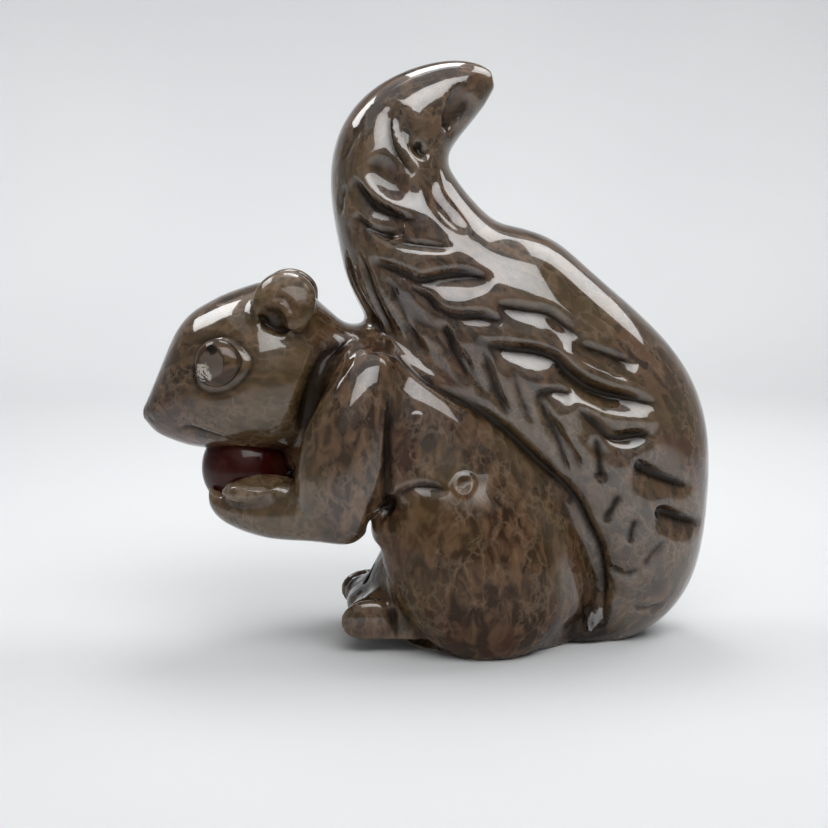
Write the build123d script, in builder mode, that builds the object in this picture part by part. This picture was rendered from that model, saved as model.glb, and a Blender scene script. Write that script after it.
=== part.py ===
"""Squirrel figurine: hollow slip-cast earthenware castings, luted edge to edge and glazed.

Millimetres, +Z up. The squirrel faces -X and is mirrored about the XZ plane, so its left side is -Y.
The origin lies on the resting plane, under the middle of the overall length.
"""

from build123d import *

import os
from math import cos, hypot, pi, sin, sqrt

os.makedirs("parts", exist_ok=True)

# Castings: the wall left by the slip, and the holes that let the kiln's hot air out
WALL = 4.5
VENT_DIAMETER = 3.0

# Torso, a leaning pear that carries everything else
TORSO_X = 18.0
TORSO_LENGTH = 64.0
TORSO_WIDTH = 62.0
TORSO_HEIGHT = 94.0

# Haunches, one on each side of the torso and as long as it
HAUNCH_LENGTH = TORSO_LENGTH
HAUNCH_THICKNESS = 36.0
HAUNCH_HEIGHT = 49.0
HAUNCH_TILT = 60.0

# Hind feet, whose soles stand a little clear of the table
FOOT_LENGTH = 36.0
FOOT_WIDTH = 17.0
FOOT_HEIGHT = 20.0
FOOT_LIFT = 4.5
TOE_LENGTH = 17.0
TOE_HEIGHT = 12.5
TOE_COUNT = 4
TOE_STAGGER = 1.2

# Tail, an S-shaped plume up the back that rests on the table behind
TAIL_RISE = 166.0
TAIL_THICKNESS = 62.0
TAIL_WIDTH = 49.0

# Head, its ears and its button eyes
HEAD_LENGTH = 60.0
HEAD_HEIGHT = 50.3
HEAD_WIDTH = 45.0
EAR_LENGTH = 18.5
EAR_HEIGHT = 19.0
EAR_THICKNESS = 10.0
EYE_DIAMETER = 15.3
EYE_THICKNESS = 9.0

# Forelegs and the nut that they hold to the mouth
UPPER_ARM_LENGTH = 54.0
UPPER_ARM_DEPTH = 24.8
UPPER_ARM_THICKNESS = 21.0
FOREARM_LENGTH = 47.0
FOREARM_DEPTH = 18.0
FOREARM_THICKNESS = 18.0
NUT_DIAMETER = 27.6

# Points on each section's outline, which a closed spline joins
RING_POINTS = 12


def ring(centre, direction, width, depth, droop_share=0.0):
    """One oval section across Y; a droop above zero sets its widest line below its middle."""
    points = []
    for step in range(RING_POINTS):
        turn = 2 * pi * step / RING_POINTS
        across = width / 2 * cos(turn) * (1 - droop_share * sin(turn))
        points.append((across, depth / 2 * sin(turn)))
    with BuildSketch(Plane(origin=centre, x_dir=(0, 1, 0), z_dir=direction)) as outline:
        with BuildLine():
            Spline(*points, periodic=True)
        make_face()
    return outline.sketch


def ellipsoid(length, width, height):
    """An ellipsoid with these three full sizes, centred on the origin, with its poles along Y."""
    with BuildPart() as form:
        Sphere(1, rotation=(90, 0, 0))
        scale(by=(length / 2, width / 2, height / 2))
    return form.part


def both_sides(form):
    """A form on the left side, and its mirror image on the right."""
    with BuildPart() as other_side:
        mirror(form, about=Plane.XZ)
    return {"left": form, "right": other_side.part}


def finish(piece, label):
    """Names a finished piece and writes it."""
    piece.part.label = label
    export_step(piece.part, f"parts/{label}.step")


# Torso form: level rings as shares of height, then of length (middle and size) and of width
TORSO_RING_SHARES = (
    (0.00, 0.00, 0.84, 0.71),
    (0.10, 0.00, 0.97, 0.90),
    (0.27, -0.015, 1.00, 1.00),
    (0.43, -0.06, 0.95, 0.98),
    (0.56, -0.30, 1.30, 0.91),
    (0.68, -0.37, 1.18, 0.84),
    (0.80, -0.46, 0.99, 0.77),
    (0.92, -0.54, 0.66, 0.60),
    (0.98, -0.59, 0.42, 0.42),
    (1.01, -0.61, 0.20, 0.20),
)
TORSO_CAVITY_SHARES = TORSO_RING_SHARES[1:-2]


def torso_rings(inset, ring_shares):
    """Rings of the torso, drawn in by an inset all round."""
    rings = []
    for up_share, middle_share, length_share, width_share in ring_shares:
        centre = (TORSO_X + middle_share * TORSO_LENGTH, 0, up_share * TORSO_HEIGHT)
        width = width_share * TORSO_WIDTH - 2 * inset
        length = length_share * TORSO_LENGTH - 2 * inset
        rings.append(ring(centre, (0, 0, 1), width, length))
    return rings


with BuildPart() as torso_form:
    loft(torso_rings(0, TORSO_RING_SHARES))

# Haunches: pressed pads, tilted up at the front and cut flat on the resting plane
HAUNCH_X = TORSO_X - 0.10 * TORSO_LENGTH
HAUNCH_Y = 0.295 * TORSO_WIDTH
HAUNCH_Z = 0.285 * TORSO_HEIGHT

with BuildPart() as haunch_form:
    with Locations(Location((HAUNCH_X, -HAUNCH_Y, HAUNCH_Z), (0, HAUNCH_TILT, 0))):
        add(ellipsoid(HAUNCH_LENGTH, HAUNCH_THICKNESS, HAUNCH_HEIGHT))
    split(bisect_by=Plane.XY, keep=Keep.TOP)

haunch_forms = both_sides(haunch_form.part)
for side, form in haunch_forms.items():
    with BuildPart() as haunch:
        add(form)
        add(torso_form.part, mode=Mode.SUBTRACT)
    finish(haunch, f"{side}_haunch")

# Tail form: rings along the S, as shares of the rise (place), of thickness and of width
TAIL_ROOT_X = TORSO_X + 0.60 * TORSO_LENGTH
TAIL_RING_SHARES = (
    (-0.060, 0.016, 0.09, 0.44),
    (0.004, 0.050, 0.35, 0.58),
    (0.043, 0.114, 0.53, 0.70),
    (0.035, 0.222, 0.735, 0.85),
    (0.000, 0.342, 0.945, 0.96),
    (-0.084, 0.452, 1.00, 1.00),
    (-0.210, 0.560, 1.00, 0.98),
    (-0.319, 0.651, 0.805, 0.90),
    (-0.384, 0.751, 0.665, 0.80),
    (-0.407, 0.842, 0.57, 0.71),
    (-0.386, 0.912, 0.497, 0.61),
    (-0.337, 0.955, 0.403, 0.49),
    (-0.285, 0.984, 0.295, 0.35),
    (-0.248, 0.998, 0.178, 0.20),
    (-0.229, 1.002, 0.075, 0.085),
)
TAIL_CAVITY_RINGS = (3, 10)


def tail_rings(inset, first, last):
    """Rings of the tail from first to last, drawn in by an inset all round."""
    places = [(x_share * TAIL_RISE, z_share * TAIL_RISE) for x_share, z_share, *_ in TAIL_RING_SHARES]
    rings = []
    for index in range(first, last + 1):
        before = places[max(index - 1, 0)]
        after = places[min(index + 1, len(places) - 1)]
        direction = (after[0] - before[0], 0, after[1] - before[1])
        centre = (TAIL_ROOT_X + places[index][0], 0, places[index][1])
        thickness_share, width_share = TAIL_RING_SHARES[index][2:]
        width = width_share * TAIL_WIDTH - 2 * inset
        thickness = thickness_share * TAIL_THICKNESS - 2 * inset
        rings.append(ring(centre, direction, width, thickness))
    return rings


with BuildPart() as tail_form:
    loft(tail_rings(0, 0, len(TAIL_RING_SHARES) - 1))
    split(bisect_by=Plane.XY, keep=Keep.TOP)

# Locks of the plume: grooves pressed into both flanks. Each has its place, as a ring number along the tail
# and a share of the thickness across it (1 is the front edge), then its length, width and depth as shares
# of the tail's width, and its pitch in degrees
TAIL_GROOVE_SHARES = (
    (11.6, -0.35, 0.38, 0.16, 0.045, 52),
    (10.1, 0.05, 0.42, 0.13, 0.040, -75),
    (8.9, 0.10, 0.44, 0.18, 0.052, -40),
    (8.3, 0.40, 0.50, 0.12, 0.040, -38),
    (7.75, 0.00, 0.56, 0.10, 0.034, -4),
    (7.1, -0.08, 0.56, 0.11, 0.036, 4),
    (6.8, 0.52, 0.44, 0.10, 0.034, -56),
    (6.45, 0.45, 0.50, 0.10, 0.034, -63),
    (5.9, 0.43, 0.50, 0.10, 0.034, -68),
    (5.8, 0.00, 0.56, 0.11, 0.040, -8),
    (5.2, 0.37, 0.56, 0.10, 0.032, -66),
    (4.9, -0.20, 0.80, 0.13, 0.046, -25),
    (4.3, -0.19, 0.36, 0.11, 0.040, -3),
    (4.1, 0.25, 0.36, 0.10, 0.032, -87),
    (3.75, -0.31, 0.40, 0.12, 0.044, -20),
    (3.05, -0.40, 0.34, 0.12, 0.044, -16),
)


def tail_skin_place(along, across_share):
    """A point on the tail's left flank, between two of its rings."""
    index = int(along)
    lower, upper = TAIL_RING_SHARES[index : index + 2]
    x, z, thickness, width = (low + (along - index) * (high - low) for low, high in zip(lower, upper))
    run_x = upper[0] - lower[0]
    run_z = upper[1] - lower[1]
    out = across_share * thickness * TAIL_THICKNESS / 2 / hypot(run_x, run_z)
    depth = width * TAIL_WIDTH / 2 * sqrt(1 - across_share**2)
    return (TAIL_ROOT_X + x * TAIL_RISE - out * run_z, -depth, z * TAIL_RISE + out * run_x)


tail_grooves = []
for along, across_share, length_share, width_share, depth_share, pitch in TAIL_GROOVE_SHARES:
    length, width, depth = (share * TAIL_WIDTH for share in (length_share, width_share, depth_share))
    with BuildPart() as groove_form:
        with Locations(Location(tail_skin_place(along, across_share), (0, -pitch, 0))):
            add(ellipsoid(length, 2 * depth, width))
    tail_grooves.extend(both_sides(groove_form.part).values())

# Head form: upright rings from nose to nape, as shares of length, height (middle and size) and width
HEAD_X = TORSO_X - 0.672 * TORSO_LENGTH
HEAD_Z = 0.883 * TORSO_HEIGHT
HEAD_RING_SHARES = (
    (-0.998, -0.275, 0.06, 0.07, 0.0),
    (-0.970, -0.260, 0.167, 0.18, 0.0),
    (-0.919, -0.217, 0.362, 0.34, 0.05),
    (-0.868, -0.160, 0.533, 0.46, 0.08),
    (-0.803, -0.103, 0.704, 0.60, 0.10),
    (-0.718, -0.067, 0.82, 0.74, 0.12),
    (-0.620, -0.040, 0.895, 0.86, 0.12),
    (-0.497, -0.016, 0.962, 0.96, 0.12),
    (-0.373, 0.000, 1.00, 1.00, 0.12),
    (-0.248, 0.004, 0.958, 0.95, 0.10),
    (-0.150, 0.010, 0.803, 0.80, 0.05),
    (-0.050, 0.040, 0.545, 0.56, 0.0),
    (-0.008, 0.070, 0.32, 0.34, 0.0),
)
HEAD_CAVITY_SHARES = HEAD_RING_SHARES[4:10]


def head_rings(inset, ring_shares):
    """Rings of the head, drawn in by an inset all round."""
    rings = []
    for fore_share, up_share, height_share, width_share, droop_share in ring_shares:
        centre = (HEAD_X + fore_share * HEAD_LENGTH, 0, HEAD_Z + up_share * HEAD_HEIGHT)
        width = width_share * HEAD_WIDTH - 2 * inset
        height = height_share * HEAD_HEIGHT - 2 * inset
        rings.append(ring(centre, (1, 0, 0), width, height, droop_share))
    return rings


with BuildPart() as head_form:
    loft(head_rings(0, HEAD_RING_SHARES))

# Ears: thick flaps, open at the lower front
EAR_X = HEAD_X - 0.283 * HEAD_LENGTH
EAR_Y = 0.37 * HEAD_WIDTH
EAR_Z = HEAD_Z + 0.385 * HEAD_HEIGHT
EAR_TURN = (-20.0, 0.0, -8.0)
EAR_CUP_X = -0.20 * EAR_LENGTH
EAR_CUP_Y = -0.40 * EAR_THICKNESS
EAR_CUP_Z = -0.40 * EAR_HEIGHT
EAR_CUP_SIZE_SHARES = (0.56, 1.20, 0.66)

with BuildPart() as ear_form:
    add(ellipsoid(EAR_LENGTH, EAR_THICKNESS, EAR_HEIGHT))
    with Locations((EAR_CUP_X, EAR_CUP_Y, EAR_CUP_Z)):
        length_share, thickness_share, height_share = EAR_CUP_SIZE_SHARES
        cup = ellipsoid(length_share * EAR_LENGTH, thickness_share * EAR_THICKNESS, height_share * EAR_HEIGHT)
        add(cup, mode=Mode.SUBTRACT)

with BuildPart() as placed_ear_form:
    with Locations(Location((EAR_X, -EAR_Y, EAR_Z), EAR_TURN)):
        add(ear_form.part)

for side, form in both_sides(placed_ear_form.part).items():
    with BuildPart() as ear:
        add(form)
        add(head_form.part, mode=Mode.SUBTRACT)
    finish(ear, f"{side}_ear")

# Eyes: domed buttons turned a little to the front
EYE_X = HEAD_X - 0.598 * HEAD_LENGTH
EYE_Y = 0.405 * HEAD_WIDTH
EYE_Z = HEAD_Z + 0.05 * HEAD_HEIGHT
EYE_TURN = -20.0

with BuildPart() as eye_form:
    with Locations(Location((EYE_X, -EYE_Y, EYE_Z), (0, 0, EYE_TURN))):
        add(ellipsoid(EYE_DIAMETER, EYE_THICKNESS, EYE_DIAMETER))

for side, form in both_sides(eye_form.part).items():
    with BuildPart() as eye:
        add(form)
        add(head_form.part, mode=Mode.SUBTRACT)
    finish(eye, f"{side}_eye")

# Nut: a ball pressed up against the chin and back against the chest
NUT_X = HEAD_X - 0.49 * HEAD_LENGTH
NUT_Z = HEAD_Z - 0.60 * HEAD_HEIGHT

with BuildPart() as nut_form:
    with Locations((NUT_X, 0, NUT_Z)):
        Sphere(NUT_DIAMETER / 2)

with BuildPart() as nut:
    add(nut_form.part)
    add([torso_form.part, head_form.part], mode=Mode.SUBTRACT)
finish(nut, "nut")

# Vents through the two joints, centred on the torso's skin
NECK_VENT_X = TORSO_X - 0.76 * TORSO_LENGTH
NECK_VENT_Z = 0.89 * TORSO_HEIGHT
TAIL_VENT_X = TORSO_X + 0.41 * TORSO_LENGTH
TAIL_VENT_Z = 0.46 * TORSO_HEIGHT
VENT_LENGTH = 0.5 * TORSO_LENGTH


def joint_vent(x, z):
    """A round vent along X."""
    with BuildPart() as hole:
        with Locations(Location((x, 0, z), (0, 90, 0))):
            Cylinder(VENT_DIAMETER / 2, VENT_LENGTH)
    return hole.part


neck_vent = joint_vent(NECK_VENT_X, NECK_VENT_Z)
tail_vent = joint_vent(TAIL_VENT_X, TAIL_VENT_Z)

# Body casting: the torso's shell, with a third vent in its floor
with BuildPart() as body_casting:
    add(torso_form.part)
    loft(torso_rings(WALL, TORSO_CAVITY_SHARES), mode=Mode.SUBTRACT)
    with Locations((TORSO_X, 0, 0)):
        Cylinder(VENT_DIAMETER / 2, VENT_LENGTH, mode=Mode.SUBTRACT)
    add([neck_vent, tail_vent], mode=Mode.SUBTRACT)
finish(body_casting, "body_casting")

# Head casting: seated on the torso's shoulder
with BuildPart() as head_casting:
    add(head_form.part)
    add(torso_form.part, mode=Mode.SUBTRACT)
    loft(head_rings(WALL, HEAD_CAVITY_SHARES), mode=Mode.SUBTRACT)
    add(neck_vent, mode=Mode.SUBTRACT)
finish(head_casting, "head_casting")

# Tail casting: seated along the back and between the haunches
with BuildPart() as tail_casting:
    add(tail_form.part)
    add([torso_form.part, *haunch_forms.values()], mode=Mode.SUBTRACT)
    loft(tail_rings(WALL, *TAIL_CAVITY_RINGS), mode=Mode.SUBTRACT)
    add(tail_grooves, mode=Mode.SUBTRACT)
    add(tail_vent, mode=Mode.SUBTRACT)
finish(tail_casting, "tail_casting")

# Upper arm form: level rings down from the shoulder, as shares of arm length (down and fore),
# of torso width (out) and of arm depth and thickness
SHOULDER_X = TORSO_X - 0.57 * TORSO_LENGTH
SHOULDER_Z = 0.965 * TORSO_HEIGHT
UPPER_ARM_RING_SHARES = (
    (0.00, 0.00, 0.24, 0.42, 0.50),
    (0.09, 0.00, 0.28, 0.66, 0.75),
    (0.29, -0.06, 0.325, 0.88, 0.95),
    (0.55, -0.125, 0.35, 1.06, 1.00),
    (0.76, -0.15, 0.355, 1.04, 0.98),
    (0.90, -0.165, 0.35, 0.82, 0.85),
    (0.985, -0.20, 0.335, 0.42, 0.50),
)

with BuildPart() as upper_arm_form:
    upper_arm_rings = []
    for down_share, fore_share, out_share, depth_share, thickness_share in UPPER_ARM_RING_SHARES:
        ring_x = SHOULDER_X + fore_share * UPPER_ARM_LENGTH
        ring_z = SHOULDER_Z - down_share * UPPER_ARM_LENGTH
        centre = (ring_x, -out_share * TORSO_WIDTH, ring_z)
        width = thickness_share * UPPER_ARM_THICKNESS
        upper_arm_rings.append(ring(centre, (0, 0, 1), width, depth_share * UPPER_ARM_DEPTH))
    loft(upper_arm_rings)

# Forearm form: upright rings from the elbow to the paw, which meets its fellow under the nut
ELBOW_X = SHOULDER_X - 0.015 * UPPER_ARM_LENGTH
ELBOW_Z = SHOULDER_Z - 0.846 * UPPER_ARM_LENGTH
FOREARM_RING_SHARES = (
    (0.00, 0.00, 0.34, 0.86, 0.86),
    (-0.155, -0.04, 0.34, 1.05, 1.05),
    (-0.40, -0.045, 0.275, 0.99, 1.00),
    (-0.59, -0.075, 0.21, 0.84, 0.95),
    (-0.78, -0.07, 0.155, 0.66, 0.85),
    (-0.91, -0.035, 0.13, 0.49, 0.72),
    (-0.975, 0.02, 0.115, 0.33, 0.45),
)

with BuildPart() as forearm_form:
    forearm_rings = []
    for fore_share, up_share, out_share, depth_share, thickness_share in FOREARM_RING_SHARES:
        ring_x = ELBOW_X + fore_share * FOREARM_LENGTH
        ring_z = ELBOW_Z + up_share * FOREARM_LENGTH
        centre = (ring_x, -out_share * TORSO_WIDTH, ring_z)
        width = thickness_share * FOREARM_THICKNESS
        forearm_rings.append(ring(centre, (1, 0, 0), width, depth_share * FOREARM_DEPTH))
    loft(forearm_rings)

# Forelegs: both forms in one pressing, halved where the paws meet
with BuildPart() as foreleg_form:
    add([upper_arm_form.part, forearm_form.part])
    split(bisect_by=Plane.XZ, keep=Keep.TOP)

for side, form in both_sides(foreleg_form.part).items():
    with BuildPart() as foreleg:
        add(form)
        add([torso_form.part, head_form.part, nut_form.part], mode=Mode.SUBTRACT)
    finish(foreleg, f"{side}_foreleg")

# Hind feet: an instep with toes side by side along its front
FOOT_X = TORSO_X - 0.375 * TORSO_LENGTH
FOOT_Y = 0.19 * TORSO_WIDTH
INSTEP_Z = 0.40 * FOOT_HEIGHT
TOE_X = FOOT_X - 0.34 * FOOT_LENGTH
TOE_Z = FOOT_LIFT + 0.43 * TOE_HEIGHT
TOE_PITCH = FOOT_WIDTH / TOE_COUNT
TOE_WIDTH = 1.25 * TOE_PITCH

with BuildPart() as foot_form:
    with Locations((FOOT_X, -FOOT_Y, INSTEP_Z)):
        add(ellipsoid(FOOT_LENGTH, FOOT_WIDTH, 2 * (FOOT_HEIGHT - INSTEP_Z)))
    for toe in range(TOE_COUNT):
        toe_y = -FOOT_Y + (toe - (TOE_COUNT - 1) / 2) * TOE_PITCH
        with Locations((TOE_X + toe * TOE_STAGGER, toe_y, TOE_Z)):
            add(ellipsoid(TOE_LENGTH, TOE_WIDTH, TOE_HEIGHT))
    split(bisect_by=Plane.XY.offset(FOOT_LIFT), keep=Keep.TOP)

for side, form in both_sides(foot_form.part).items():
    with BuildPart() as hind_foot:
        add(form)
        add([torso_form.part, haunch_forms[side]], mode=Mode.SUBTRACT)
    finish(hind_foot, f"{side}_hind_foot")
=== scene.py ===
"""Looks of the glazed squirrel: one skin over the luted castings, its carved plume, button eyes and nut.

Metres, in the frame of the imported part: +Z up, the squirrel faces -X and its left side is -Y.
"""

import math

import bmesh
import bpy
import numpy as np
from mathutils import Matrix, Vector
from mathutils.bvhtree import BVHTree


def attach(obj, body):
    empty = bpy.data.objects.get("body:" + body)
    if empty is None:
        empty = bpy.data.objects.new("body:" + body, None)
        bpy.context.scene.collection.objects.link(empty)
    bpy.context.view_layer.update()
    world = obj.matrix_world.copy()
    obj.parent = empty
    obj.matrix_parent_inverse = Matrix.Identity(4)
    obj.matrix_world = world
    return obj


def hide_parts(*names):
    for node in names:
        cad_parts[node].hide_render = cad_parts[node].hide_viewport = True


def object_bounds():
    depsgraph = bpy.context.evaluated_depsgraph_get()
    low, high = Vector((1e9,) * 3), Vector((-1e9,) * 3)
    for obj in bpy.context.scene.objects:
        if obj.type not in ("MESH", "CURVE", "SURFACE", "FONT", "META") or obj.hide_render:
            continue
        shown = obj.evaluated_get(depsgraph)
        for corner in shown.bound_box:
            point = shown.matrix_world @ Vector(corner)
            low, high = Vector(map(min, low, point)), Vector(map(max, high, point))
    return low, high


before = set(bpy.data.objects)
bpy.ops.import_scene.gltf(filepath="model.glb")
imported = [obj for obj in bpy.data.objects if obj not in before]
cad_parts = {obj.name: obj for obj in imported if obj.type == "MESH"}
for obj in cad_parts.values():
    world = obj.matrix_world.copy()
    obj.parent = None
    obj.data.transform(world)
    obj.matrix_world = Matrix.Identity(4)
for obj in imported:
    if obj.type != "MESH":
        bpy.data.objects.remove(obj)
cad_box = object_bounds()

MM = 0.001
SIDES = {"left": -1, "right": 1}

# Camera: where the photograph was taken from, and the size of one of its pixels at the target
PHOTO_SIZE = 828
PIXEL = 0.3 * MM
CAMERA_TARGET = Vector((-4.5, 0, 68.3)) * MM
CAMERA_AZIMUTH = math.radians(-3)
CAMERA_REACH = 400 * MM
CAMERA_HEIGHT = 122 * MM
SENSOR = 36

# Skin: how close points are one point, the voxel that it is drawn with, and how far slip and glaze round it off
MERGE_DISTANCE = 0.0001 * MM
SKIN_VOXEL = 0.64 * MM
SMOOTHING_ROUNDS = 14
CREASE_ROUNDS = 45
SETTLING_ROUNDS = 3
LABEL_ROUNDS = 12
CURVATURE_ROUNDS = 6

# Plug: closes the floor's vent above its mouth, so that the skin doesn't run into the hollow castings
PLUG_X = 18 * MM
PLUG_RADIUS = 3 * MM
PLUG_BOTTOM = 4 * MM
PLUG_TOP = 10 * MM
PLUG_SEGMENTS = 24

# Slip: eggs of it on both sides, centre and radii in mm, where the clay runs on between the castings
EGG_SUBDIVISIONS = 4
SLIP_EGGS = (
    # Notch where the tail's root leaves the body and the haunch
    ((46, 7, 4.5), (10, 8, 5)),
    # Nook between the elbow, the belly and the haunch
    ((-12, 18, 38), (6, 8, 7)),
    # Palm that cups the nut
    ((-48, 14.5, 48), (11, 4, 5)),
    # Valley between the hind feet
    ((-13, 1.5, 10.8), (12, 10, 6.8)),
)


class Wire:
    """A socket in a node tree. Python's operators on it add Math nodes."""

    def __init__(self, tree, socket):
        self.tree = tree
        self.socket = socket

    def node(self, kind, settings=None, inputs=None, out=0):
        """A new node of this kind, with its settings and then its inputs set; gives one of its outputs."""
        made = self.tree.nodes.new(kind)
        for name, value in (settings or {}).items():
            setattr(made, name, value)
        for key, value in (inputs or {}).items():
            socket = pick(made.inputs, key)
            if isinstance(value, Wire):
                self.tree.links.new(value.socket, socket)
            else:
                socket.default_value = value
        return Wire(self.tree, pick(made.outputs, out)) if made.outputs else None

    def other(self, out):
        """Another output of the same node."""
        return Wire(self.tree, pick(self.socket.node.outputs, out))

    def maths(self, operation, *values):
        return self.node("ShaderNodeMath", {"operation": operation}, dict(enumerate(values)))

    def vector(self, operation, *values, out="Vector"):
        return self.node("ShaderNodeVectorMath", {"operation": operation}, dict(enumerate(values)), out)

    def ramp(self, low, high):
        """0 below low, 1 above high and a smooth rise between them."""
        limits = {"Value": self, "From Min": low, "From Max": high}
        return self.node("ShaderNodeMapRange", {"interpolation_type": "SMOOTHSTEP"}, limits)

    def mix(self, under, over):
        """The colour under, covered by the colour over as far as this value says."""
        colours = {"Factor_Float": self, "A_Color": under, "B_Color": over}
        return self.node("ShaderNodeMix", {"data_type": "RGBA"}, colours, "Result_Color")

    def __add__(self, value):
        return self.maths("ADD", self, value)

    def __radd__(self, value):
        return self.maths("ADD", value, self)

    def __sub__(self, value):
        return self.maths("SUBTRACT", self, value)

    def __rsub__(self, value):
        return self.maths("SUBTRACT", value, self)

    def __mul__(self, value):
        return self.maths("MULTIPLY", self, value)

    def __rmul__(self, value):
        return self.maths("MULTIPLY", value, self)

    def __truediv__(self, value):
        return self.maths("DIVIDE", self, value)

    def __pow__(self, value):
        return self.maths("POWER", self, value)


def pick(sockets, key):
    """A socket by its number, identifier or name."""
    if isinstance(key, int):
        return sockets[key]
    return next(socket for socket in sockets if key in (socket.identifier, socket.name))


def new_object(name, mesh):
    made = bpy.data.objects.new(name, mesh)
    bpy.context.scene.collection.objects.link(made)
    return made


def evaluated_mesh(piece):
    """A plain mesh of a piece with its modifiers applied; the piece itself goes."""
    graph = bpy.context.evaluated_depsgraph_get()
    mesh = bpy.data.meshes.new_from_object(piece.evaluated_get(graph), depsgraph=graph)
    bpy.data.objects.remove(piece)
    return mesh


def array_of(items, name, width, kind=float):
    values = np.zeros(len(items) * width, kind)
    items.foreach_get(name, values)
    return values.reshape(-1, width) if width > 1 else values


def store(mesh, name, values):
    """Keeps one value or vector for each vertex under a name that materials can read."""
    vector = values.ndim > 1
    layer = mesh.attributes.new(name, "FLOAT_VECTOR" if vector else "FLOAT", "POINT")
    layer.data.foreach_set("vector" if vector else "value", values.astype(np.float32).ravel())


# Camera
camera_place = CAMERA_TARGET + Vector(
    (
        math.sin(CAMERA_AZIMUTH) * CAMERA_REACH,
        -math.cos(CAMERA_AZIMUTH) * CAMERA_REACH,
        CAMERA_HEIGHT - CAMERA_TARGET.z,
    )
)
sight = CAMERA_TARGET - camera_place
camera_data = bpy.data.cameras.new("camera")
camera_data.sensor_width = SENSOR
camera_data.lens = SENSOR * sight.length / (PIXEL * PHOTO_SIZE)
camera = bpy.data.objects.new("camera", camera_data)
bpy.context.scene.collection.objects.link(camera)
camera.location = camera_place
camera.rotation_euler = sight.to_track_quat("-Z", "Y").to_euler()
bpy.context.scene.camera = camera

SIGHT_RIGHT = sight.cross(Vector((0, 0, 1))).normalized()
SIGHT_UP = SIGHT_RIGHT.cross(sight).normalized()


def photo_ray(across, down):
    """Direction from the camera through a pixel of the photograph."""
    middle = PHOTO_SIZE / 2
    return (sight + SIGHT_RIGHT * (across - middle) * PIXEL - SIGHT_UP * (down - middle) * PIXEL).normalized()


# Skin: one closed surface over every luted casting but the eyes and the nut
SEPARATE_NODES = ("left_eye", "right_eye", "nut")
GLAZED_NODES = [name for name in sorted(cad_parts) if name not in SEPARATE_NODES]


def castings_mesh():
    """Copies of the castings, the vent's plug and the eggs of slip, in one mesh."""
    joined = bmesh.new()
    for name in GLAZED_NODES:
        joined.from_mesh(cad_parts[name].data)
    bmesh.ops.remove_doubles(joined, verts=joined.verts, dist=MERGE_DISTANCE)
    plug = bmesh.ops.create_cone(
        joined,
        cap_ends=True,
        segments=PLUG_SEGMENTS,
        radius1=PLUG_RADIUS,
        radius2=PLUG_RADIUS,
        depth=PLUG_TOP - PLUG_BOTTOM,
    )
    bmesh.ops.translate(joined, verts=plug["verts"], vec=(PLUG_X, 0, (PLUG_TOP + PLUG_BOTTOM) / 2))
    for side in SIDES.values():
        for centre, radii in SLIP_EGGS:
            egg = bmesh.ops.create_icosphere(joined, subdivisions=EGG_SUBDIVISIONS, radius=1)
            bmesh.ops.scale(joined, verts=egg["verts"], vec=Vector(radii) * MM)
            bmesh.ops.translate(joined, verts=egg["verts"], vec=Vector(centre) * Vector((1, side, 1)) * MM)
    mesh = bpy.data.meshes.new("castings")
    joined.to_mesh(mesh)
    joined.free()
    return mesh


def neighbour_mean(values, edges, counts):
    """For each vertex, the mean of the values next to it."""
    flat = values.reshape(len(values), -1)
    total = np.zeros_like(flat)
    for here, there in (edges.T, edges.T[::-1]):
        for column in range(flat.shape[1]):
            total[:, column] += np.bincount(here, flat[there, column], len(flat))
    return (total / counts[:, None]).reshape(values.shape)


class Surface:
    """A mesh's points and neighbours, for smoothing and measuring it."""

    def __init__(self, mesh):
        self.mesh = mesh
        self.points = array_of(mesh.vertices, "co", 3)
        self.edges = array_of(mesh.edges, "vertices", 2, int)
        self.counts = np.bincount(self.edges.ravel(), minlength=len(self.points))

    def around(self, values):
        return neighbour_mean(values, self.edges, self.counts)

    def faces(self):
        return array_of(self.mesh.loops, "vertex_index", 1, int).reshape(-1, 4)

    def normals(self):
        self.update()
        return array_of(self.mesh.vertex_normals, "vector", 3)

    def update(self):
        self.mesh.vertices.foreach_set("co", self.points.ravel())
        self.mesh.update()

    def smooth(self, rounds, inward=0.5, outward=-0.52):
        """Rounds off small steps and keeps the volume."""
        for _ in range(rounds):
            for pull in (inward, outward):
                self.points += pull * (self.around(self.points) - self.points)

    def inside(self, zones):
        """How deep each vertex lies inside egg-shaped zones, given for the left side by centre and radii in mm."""
        left_side = self.points.copy()
        left_side[:, 1] = -np.abs(left_side[:, 1])
        strength = np.zeros(len(self.points))
        for centre, radii in zones:
            far = np.linalg.norm((left_side / MM - centre) / np.array(radii), axis=1)
            strength = np.maximum(strength, np.clip(2 * (1 - far), 0, 1))
        return strength

    def blend(self, zones, rounds):
        """Works the seams inside egg-shaped zones away with slip."""
        strength = self.inside(zones)
        close = self.edges[(strength[self.edges] > 0).any(1)]
        used, edges = np.unique(close, return_inverse=True)
        edges = edges.reshape(-1, 2)
        counts = np.bincount(edges.ravel())
        pull = 0.5 * strength[used][:, None]
        points = self.points[used]
        for _ in range(rounds):
            points += pull * (neighbour_mean(points, edges, counts) - points)
        self.points[used] = points

    def fill_creases(self, rounds, share=0.5):
        """Lets slip run into the hollow lines; gives how deep each point was filled."""
        start = self.points.copy()
        for _ in range(rounds):
            normals = self.normals()
            hollow = ((self.around(self.points) - self.points) * normals).sum(1)
            self.points += share * np.maximum(hollow, 0)[:, None] * normals
        return np.linalg.norm(self.points - start, axis=1)

    def hollowness(self, rounds):
        """How far the surface is hollow (above zero) or crowned (below zero) at each vertex."""
        hollow = ((self.around(self.points) - self.points) * self.normals()).sum(1)
        for _ in range(rounds):
            hollow = self.around(hollow)
        return hollow


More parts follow.
